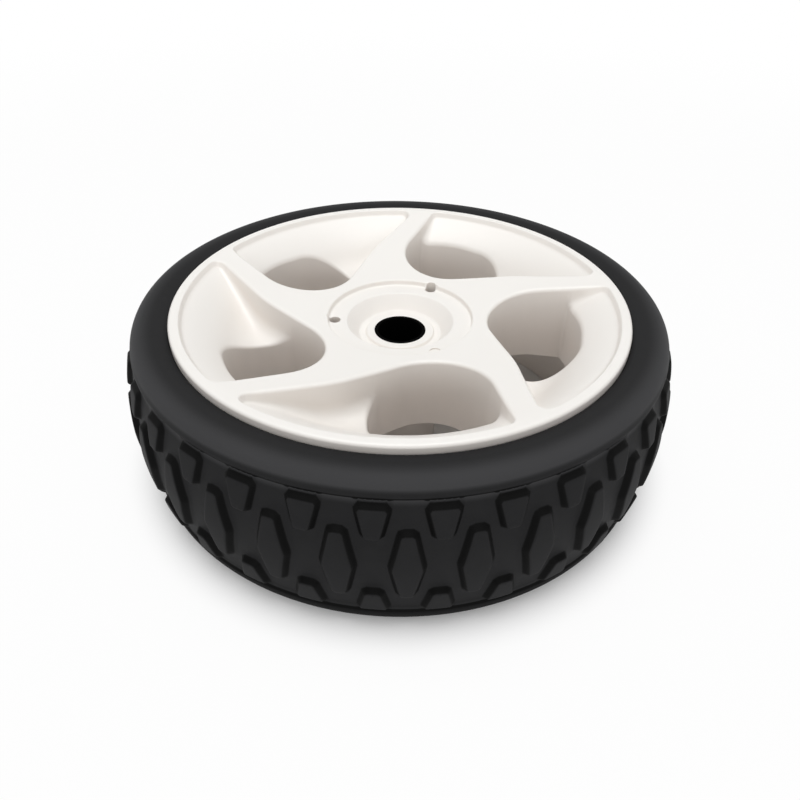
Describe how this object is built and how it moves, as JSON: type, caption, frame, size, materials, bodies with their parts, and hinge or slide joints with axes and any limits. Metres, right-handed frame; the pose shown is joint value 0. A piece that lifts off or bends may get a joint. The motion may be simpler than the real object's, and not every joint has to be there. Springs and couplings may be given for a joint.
{
  "type": "wheel",
  "caption": "Small garden machine wheel: white moulded hub with swept spokes and scooped window holes, black rubber tyre with a blocky tread, black bush in the axle bore.",
  "frame": {"origin": "on the wheel's axis, in the plane of its back face", "axes": "+Z along the axle towards the dished outer face, +X and +Y in the back face, with the wheel turned as in the picture whose camera looks along +Y"},
  "size_m": [0.2039, 0.204, 0.064],
  "materials": {
    "hub_plastic": "warm white moulded plastic, satin sheen",
    "tyre_rubber": "black moulded rubber, matt",
    "bush_plastic": "black plastic, dull"
  },
  "bodies": {
    "root": {"hub": "hub_plastic", "tyre": "tyre_rubber", "bushing": "bush_plastic"}
  },
  "joints": []
}
